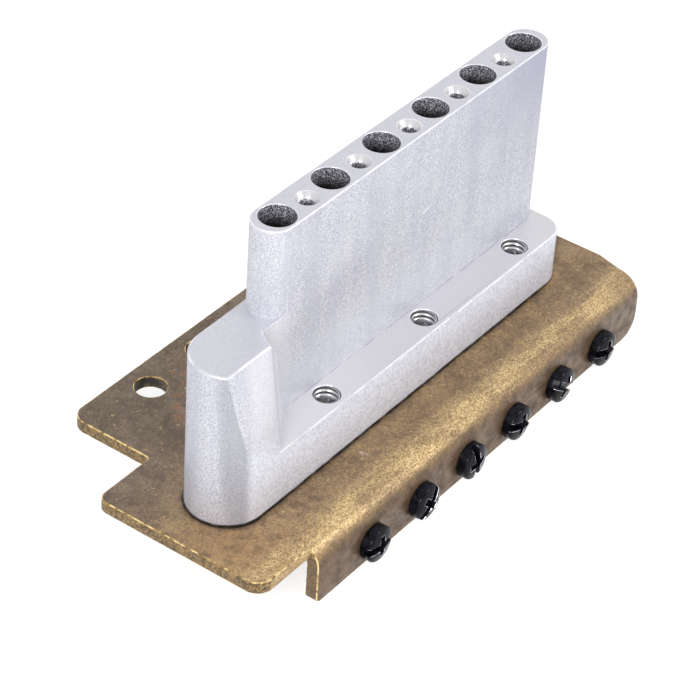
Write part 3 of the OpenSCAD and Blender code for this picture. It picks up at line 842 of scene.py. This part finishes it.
def round_edges(obj, width, segments=2, edge_material=-1, by_weight=False):
    """Rounds the sharp edges, or those that have a weight."""
    modifier = obj.modifiers.new("round", "BEVEL")
    modifier.width = width
    modifier.segments = segments
    modifier.limit_method = "WEIGHT" if by_weight else "ANGLE"
    modifier.angle_limit = math.radians(32)
    modifier.use_clamp_overlap = False
    modifier.material = edge_material
    modifier.harden_normals = False
    apply_modifiers(obj)


# Creases: edges sharper than these, in degrees, stay sharp under the smooth shading
FLAT_WORK, TURNED_WORK, WIRE = 28, 30, 40


def settle(obj, crease, node, body):
    """Shades the piece smooth between its creases; it takes the CAD node's place on its body."""
    for polygon in obj.data.polygons:
        polygon.use_smooth = True
    obj.data.set_sharp_from_angle(angle=math.radians(crease))
    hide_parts(node)
    if body:
        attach(obj, body)


def nearest(point, xs, y):
    """How far the point lies, seen from above, from the nearest of these axes."""
    return min(math.hypot(point.x - x, point.y - y) for x in xs)


def casting_face(face):
    """Which of the casting's materials a face takes."""
    centre, upward = face.calc_center_median(), face.normal.z
    if nearest(centre, string_x, string_y) < BORE_R + 0.02 * MM and centre.z < block_top - 0.02 * MM:
        return DRILLED
    if nearest(centre, hook_x, hook_y) < HOOK_MOUTH_R and -HOOK_DEPTH < centre.z - block_top < -0.01 * MM:
        return CONE if upward > 0.3 else DRILLED
    if upward > 0.99 and centre.z > plate_top + 1 * MM:
        return MILLED
    return CAST_SKIN


# How wide the casting's edges are rounded
BOSS_TOP_EDGE = 0.24 * MM
LEDGE_EDGE = 0.2 * MM
CRISP_EDGE = 0.16 * MM
CHAMFER_EDGE = 0.12 * MM
RIM_EDGE = 0.1 * MM
STEP_EDGE = 0.08 * MM
HOOK_EDGE = 0.06 * MM


def casting_edge(edge):
    """How wide an edge of the casting is rounded: broad on the boss top, thin on rims, sharp on the cheek."""
    near = 0.1 * MM
    if len(edge.link_faces) != 2 or edge.calc_face_angle() < math.radians(20) or not edge.is_convex:
        return 0.0
    centre = (edge.verts[0].co + edge.verts[1].co) / 2
    if nearest(centre, block_screw_x, block_screw_y) < BLOCK_THREAD_R + 0.2 * MM:
        return CHAMFER_EDGE if centre.z > ledge_top - near else 0.0
    if nearest(centre, string_x, string_y) < BORE_R + 0.05 * MM:
        return RIM_EDGE if centre.z > block_top - near else 0.0
    if nearest(centre, hook_x, hook_y) < HOOK_MOUTH_R + 0.05 * MM and centre.z > block_top - HOOK_DEPTH:
        return HOOK_EDGE if centre.z > block_top - near else 0.0
    if centre.z < plate_top + near:
        return RIM_EDGE
    if centre.x < string_x[0] + 0.9 * MM and ledge_top + 0.35 * MM < centre.z < boss_top - 0.5 * MM:
        return 0.0
    if abs(centre.z - boss_top) < near:
        by_step = string_x[0] - 7.1 * MM < centre.x and centre.y < wall_y - near
        return STEP_EDGE if by_step else BOSS_TOP_EDGE
    return LEDGE_EDGE if abs(centre.z - ledge_top) < near else CRISP_EDGE


def threaded_sleeve(x, y, low, high, hole_r, thread):
    """The cut thread inside a tapped hole: a closed tube whose inner side is one helical ridge."""
    buried, clear, past_end = 0.05 * MM, 0.02 * MM, 0.2 * MM
    metal = CASTING_MATERIALS[CONE]
    radius, pitch, ridge = thread
    length = high - low
    tube = lathe("sleeve", [(hole_r + buried, 0), (hole_r + buried, length)], at(x, y, low), metal)
    tap_thread = (hole_r + clear - ridge / 2, pitch, ridge)
    tap = threaded_rod("tap", tap_thread, length + 2 * past_end, at(x, y, low - past_end), metal)
    combine(tube, [tap], "DIFFERENCE")
    return tube


def add_shells(obj, shells, material_index):
    """Joins closed shells to the object's mesh; their faces take the material with this number."""
    joined = opened(obj.data)
    for shell in shells:
        for polygon in shell.data.polygons:
            polygon.material_index = material_index
        joined.from_mesh(shell.data)
        bpy.data.objects.remove(shell)
    write_back(joined, obj.data)


def soften_cheek(mesh):
    """Keeps the milled faces flat and lets the long edges on the boss's cheek run smooth."""
    for polygon in mesh.polygons:
        polygon.use_smooth = polygon.material_index != MILLED
    for edge in mesh.edges:
        start, end = [mesh.vertices[v].co for v in edge.vertices]
        below_top = max(start.z, end.z) < boss_top - 0.2 * MM and min(start.z, end.z) > plate_top + 1 * MM
        if below_top and min(start.x, end.x) > boss_x and (start - end).length > 5 * MM:
            if max(start.x, end.x) <= string_x[0] - 4 * MM:
                edge.use_edge_sharp = False


def sustain_block():
    block = cad_copy("sustain_block_casting", "sustain_block", CASTING_MATERIALS)
    shape = opened(block.data)
    weights = shape.edges.layers.float.new("bevel_weight_edge")
    for face in shape.faces:
        face.material_index = casting_face(face)
    for edge in shape.edges:
        edge[weights] = casting_edge(edge) / BOSS_TOP_EDGE
    write_back(shape, block.data)
    round_edges(block, BOSS_TOP_EDGE, 3, BURNISHED_AND_HIGHLIGHT, by_weight=True)
    # The foot's rounded edge takes the seam material's painted shade
    for polygon in block.data.polygons:
        if polygon.center.z < plate_top + RIM_EDGE and polygon.normal.z > -0.9:
            polygon.material_index = SEAM
    screw_tip = block_screw_boxes[0][1].z
    hole = (screw_tip + 0.08 * MM, ledge_top - 0.2 * MM, BLOCK_THREAD_R + THREAD_GAP, BLOCK_THREAD)
    add_shells(block, [threaded_sleeve(x, block_screw_y, *hole) for x in block_screw_x], CUT_THREAD)
    socket = (plate_top + 0.15 * MM, plate_top + 17.8 * MM, ARM_THREAD[0], ARM_THREAD)
    add_shells(block, [threaded_sleeve(boss_x, boss_y, *socket)], CONE)
    settle(block, FLAT_WORK, "sustain_block", "bridge")
    soften_cheek(block.data)


def is_sheet_skin(face):
    """True on the rolled faces of the plate and lip."""
    centre, normal = face.calc_center_median(), face.normal
    near = 0.03 * MM
    if abs(normal.z) > 0.95 and min(abs(centre.z - plate_top), abs(centre.z - plate_under)) < near:
        return True
    if abs(normal.y) > 0.95 and min(abs(centre.y - lip_face), abs(centre.y - lip_inner)) < near:
        return True
    if centre.y < bend_y and centre.z > bend_z:
        far = math.hypot(centre.y - bend_y, centre.z - bend_z)
        return min(abs(far - BEND_R), abs(far - (BEND_R - PLATE_T))) < 2 * near
    return False


def is_hole_wall(face):
    """True inside the pivot holes, the arm's hole and the screws' holes in the lip."""
    centre = face.calc_center_median()
    if abs(face.normal.z) < 0.5 and centre.z > plate_under:
        if nearest(centre, string_x, pivot_y) < PIVOT_HOLE_R + 0.1 * MM:
            return True
        if nearest(centre, [boss_x], boss_y) < ARM_HOLE_R:
            return True
    in_lip = centre.y < lip_inner and centre.z > 1 * MM and abs(face.normal.y) < 0.5
    return in_lip and min(abs(centre.x - x) for x in string_x) < LIP_HOLE_R


def base_plate():
    plate = cad_copy("base_plate_sheet", "base_plate", SHEET_MATERIALS)
    shape = opened(plate.data)
    for face in shape.faces:
        cut_side = HOLE_WALL if is_hole_wall(face) else SHEARED
        face.material_index = SHEET_SKIN if is_sheet_skin(face) else cut_side
    write_back(shape, plate.data)
    round_edges(plate, 0.14 * MM, 2, GOLD_EDGE)
    settle(plate, FLAT_WORK, "base_plate", "bridge")


COUNTERSUNK_R, COUNTERSUNK_RIM, COUNTERSUNK_SHARE = 3.5 * MM, 0.1 * MM, 0.6
DRIVE_W, DRIVE_LEN, DRIVE_DEPTH, DRIVE_ABOVE = 0.9 * MM, 3.8 * MM, 1.6 * MM, 0.5 * MM
DRIVE_TURN, DRIVE_TURN_STEP = 20, 31


def block_screw(k):
    """A countersunk screw along +Z with a cross recess; k counts from 0."""
    low, high = block_screw_boxes[k]
    name = f"block_screw_{k + 1}"
    head_h = COUNTERSUNK_R - BLOCK_THREAD_R
    rim = COUNTERSUNK_RIM
    place = at(block_screw_x[k], block_screw_y, low.z)
    profile = [(COUNTERSUNK_R - rim, 0), (COUNTERSUNK_R, rim), (BLOCK_THREAD_R - rim, head_h + rim)]
    head = lathe(f"{name}_steel", profile, place, SCREW_STEEL)
    buried = head_h * COUNTERSUNK_SHARE
    length = high.z - low.z - buried
    start = low.z + buried - (plate_top - 0.3 * MM)
    on_head = place @ at(0, 0, buried)
    shank = threaded_rod("shank", BLOCK_THREAD, length, on_head, SCREW_STEEL, start, high=0.6 * MM)
    combine(head, [shank], "UNION")
    sunk = place @ at(0, 0, -DRIVE_ABOVE) @ turned(DRIVE_TURN + DRIVE_TURN_STEP * k)
    cross = [sunk @ turned(turn) for turn in (0, 90)]
    bars = [bar("recess", DRIVE_W, DRIVE_LEN, DRIVE_DEPTH, arm, SCREW_STEEL) for arm in cross]
    combine(head, bars, "DIFFERENCE")
    settle(head, TURNED_WORK, name, "bridge")


SCREW_TURNS = (1, -48, 84, 14, 32, 11)
HEAD_R, HEAD_H, HEAD_DOME_R, HEAD_ROUND = 2.5 * MM, 1.9 * MM, 7.0 * MM, 0.4 * MM
NECK_R, NECK_LEN = 1.25 * MM, 2.4 * MM
SLOT_W, SLOT_DEPTH = 1.1 * MM, 1.2 * MM
CROSS_W, CROSS_LEN, CROSS_DEPTH = 0.9 * MM, 3.0 * MM, 1.3 * MM


def pan_head_profile():
    """The head's (radius, height) points from the pole down: flat dome, round shoulder, straight side."""
    steps = 6
    arm = HEAD_R - HEAD_ROUND
    shoulder_z = HEAD_DOME_R - math.sqrt((HEAD_DOME_R - HEAD_ROUND) ** 2 - arm ** 2)
    meet = math.asin(arm / (HEAD_DOME_R - HEAD_ROUND))
    dome = [(HEAD_DOME_R * math.sin(meet * k / steps), HEAD_DOME_R * (1 - math.cos(meet * k / steps)))
            for k in range(steps)]
    turns = [meet + (math.pi / 2 - meet) * k / steps for k in range(steps + 1)]
    shoulder = [(arm + HEAD_ROUND * math.sin(t), shoulder_z - HEAD_ROUND * math.cos(t)) for t in turns]
    foot = 0.1 * MM
    return dome + shoulder + [(HEAD_R, HEAD_H - foot), (HEAD_R - foot, HEAD_H), (0, HEAD_H)]


def rub_and_highlight_slot_edges(head, face_y):
    """Rounds the edges where the slot and the recess meet the domed face, and shows bare metal there,
    brighter partly as a painted highlight.
    """
    shape = opened(head.data)
    bmesh.ops.remove_doubles(shape, verts=shape.verts, dist=0.005 * MM)
    weights = shape.edges.layers.float.new("bevel_weight_edge")
    for edge in shape.edges:
        near_face = max(v.co.y for v in edge.verts) < face_y + SLOT_DEPTH - 0.1 * MM
        sharp = len(edge.link_faces) == 2 and edge.is_convex and edge.calc_face_angle() > math.radians(45)
        edge[weights] = 1.0 if near_face and sharp else 0.0
    write_back(shape, head.data)
    round_edges(head, 0.08 * MM, 2, 1, by_weight=True)


def intonation_screw(i):
    """A pan-head machine screw along +Y, with a slot and a cross recess."""
    low, high = screw_boxes[i - 1]
    name = f"intonation_screw_{i}"
    place = at(string_x[i - 1], low.y, (low.z + high.z) / 2) @ turned(-90, "X")
    head = lathe(f"{name}_black", pan_head_profile(), place, BLACK, 56)
    above = 0.5 * MM
    sunk = place @ turned(SCREW_TURNS[i - 1]) @ at(0, 0, -above)
    slot = bar("slot", SLOT_W, 2 * HEAD_R + 0.4 * MM, SLOT_DEPTH + above, sunk, BLACK)
    recess = bar("recess", CROSS_W, CROSS_LEN, CROSS_DEPTH + above, sunk @ turned(90), BLACK)
    combine(head, [slot, recess], "DIFFERENCE")
    # Slot edges: rubbed bare metal, partly a painted highlight
    head.data.materials.append(RUBBED_BLACK_AND_HIGHLIGHT)
    rub_and_highlight_slot_edges(head, low.y)
    neck_end = HEAD_H + NECK_LEN
    neck_profile = [(NECK_R, HEAD_H - 0.3 * MM), (NECK_R, neck_end), (SCREW_THREAD_R, neck_end + 0.15 * MM)]
    neck = lathe("neck", neck_profile, place, BLACK, 32)
    from_head = neck_end - 0.4 * MM
    length = high.y - low.y - from_head
    shank = threaded_rod("shank", SCREW_THREAD, length, place @ at(0, 0, from_head), BLACK, high=0.4 * MM)
    combine(head, [neck, shank], "UNION")
    settle(head, TURNED_WORK, name, name)


def intonation_spring(i):
    """The coil spring between the lip and the saddle."""
    end_gap = 0.03 * MM
    start = lip_inner + end_gap
    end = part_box(f"saddle_{i}")[0].y - end_gap
    screw_low, screw_high = screw_boxes[i - 1]
    place = at(string_x[i - 1], start, (screw_low.z + screw_high.z) / 2)
    values = {"Length": end - start, "Coil Radius": 1.8 * MM, "Wire Radius": 0.25 * MM, "Curls": 4.0,
              "Leg": 0.4 * MM, "Steps": 120, "Sides": 10, "Material": SPRING_STEEL}
    spring = from_tree(f"intonation_spring_{i}_wire", COIL_TREE, values, place)
    settle(spring, WIRE, f"intonation_spring_{i}", None)
    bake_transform(spring)


def saddle(i):
    made = cad_copy(f"saddle_{i}_plate", f"saddle_{i}", [SADDLE_STEEL])
    round_edges(made, 0.12 * MM)
    settle(made, FLAT_WORK, f"saddle_{i}", f"saddle_{i}")


SOCKET_ACROSS, SOCKET_LEN, SOCKET_BELOW = 1.5 * MM, 2.0 * MM, 0.5 * MM
SOCKET_TURN, SOCKET_TURN_STEP = 1.0, 0.4


def grub(i, side):
    """A height screw: threaded all along, hexagonal socket at the saddle's crown side, chamfered tip."""
    node = f"saddle_{i}_grub_{side}"
    low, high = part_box(node)
    place = at((low.x + high.x) / 2, (low.y + high.y) / 2, low.z)
    made = threaded_rod(f"{node}_threaded", GRUB_THREAD, high.z - low.z, place, GRUB_STEEL, low=0.3 * MM,
                        high=0.5 * MM)
    corner_r = SOCKET_ACROSS / math.sqrt(3)
    corners = [(corner_r * math.cos(math.pi * k / 3), corner_r * math.sin(math.pi * k / 3)) for k in range(6)]
    sunk = place @ at(0, 0, -SOCKET_BELOW) @ Matrix.Rotation(SOCKET_TURN_STEP * i + SOCKET_TURN, 4, "Z")
    combine(made, [prism("socket", corners, SOCKET_LEN, sunk, GRUB_STEEL)], "DIFFERENCE")
    settle(made, TURNED_WORK, node, node)


sustain_block()
base_plate()
for k in range(3):
    block_screw(k)
for i in STRINGS:
    intonation_screw(i)
    intonation_spring(i)
    saddle(i)
    grub(i, "a")
    grub(i, "b")


def seen_directly(maker):
    """1 for camera, mirror and see-through rays, 0 for light that falls on things."""
    path = maker.node("ShaderNodeLightPath").outputs
    return maker.most(path["Is Camera Ray"], path["Is Glossy Ray"], path["Is Transmission Ray"])


def studio_floor():
    """White seen from above, grey to the light that it throws back, and clear from below."""
    half = 2.0
    mesh = bpy.data.meshes.new("floor")
    corners = [(-half, -half, 0), (half, -half, 0), (half, half, 0), (-half, half, 0)]
    mesh.from_pydata(corners, [], [(0, 1, 2, 3)])
    floor = new_object("floor", mesh)
    material = bpy.data.materials.new("white_floor")
    material.use_nodes = True
    material.node_tree.nodes.clear()
    maker = Maker(material.node_tree)
    matt = maker.result("ShaderNodeBsdfDiffuse", {"Color": (0.5, 0.5, 0.5, 1)})
    glow_strength = maker.times(seen_directly(maker), 0.72)
    glow = maker.result("ShaderNodeEmission", {"Color": (1, 1, 1, 1), "Strength": glow_strength})
    both = maker.result("ShaderNodeAddShader", {0: matt, 1: glow})
    from_below = maker.node("ShaderNodeNewGeometry").outputs["Backfacing"]
    clear = maker.result("ShaderNodeBsdfTransparent")
    one_sided = maker.result("ShaderNodeMixShader", {0: from_below, 1: both, 2: clear})
    maker.node("ShaderNodeOutputMaterial", {"Surface": one_sided})
    mesh.materials.append(material)


def studio_world():
    world = bpy.data.worlds.new("studio")
    bpy.context.scene.world = world
    world.use_nodes = True
    world.node_tree.nodes.clear()
    maker = Maker(world.node_tree)
    strength = maker.fade(seen_directly(maker), 0.0, 1.0, 0.58, 1.0)
    light = maker.result("ShaderNodeBackground", {"Color": (1, 1, 1, 1), "Strength": strength})
    maker.node("ShaderNodeOutputWorld", {"Surface": light})


def soft_lamp(name, place, target, size, power):
    data = bpy.data.lights.new(name, "AREA")
    data.shape = "DISK"
    data.size = size
    data.energy = power
    lamp = new_object(name, data)
    lamp.location = place
    lamp.rotation_mode = "QUATERNION"
    lamp.rotation_quaternion = (target - place).to_track_quat("-Z", "Y")


CAMERA_PLACE = Vector((-243.731, -164.615, 235.511)) * MM
CAMERA_RIGHT = Vector((0.59679, -0.80064, 0.05304))
CAMERA_UP = Vector((0.45978, 0.39539, 0.79515))
LENS_MM, SENSOR_MM = 149.85, 36.0


def photo_camera():
    """The photo's camera, solved from the outlines of plate, block and screw heads."""
    data = bpy.data.cameras.new("photo_camera")
    data.lens = LENS_MM
    data.sensor_width = SENSOR_MM
    data.clip_start = 0.01
    data.clip_end = 20.0
    camera = new_object("photo_camera", data)
    right = CAMERA_RIGHT.normalized()
    back = right.cross(CAMERA_UP).normalized()
    up = back.cross(right)
    camera.matrix_world = at(*CAMERA_PLACE) @ Matrix((right, up, back)).transposed().to_4x4()
    bpy.context.scene.camera = camera


studio_floor()
studio_world()
middle = (cad_low + cad_high) / 2
# Each lamp's width in metres and power in watts come last
soft_lamp("key_lamp", Vector((0.22, -0.42, 0.34)), middle, 0.22, 1.2)
soft_lamp("side_lamp", Vector((-0.45, -0.18, 0.3)), middle, 0.2, 1.9)
photo_camera()
bpy.context.scene.view_settings.view_transform = "Standard"
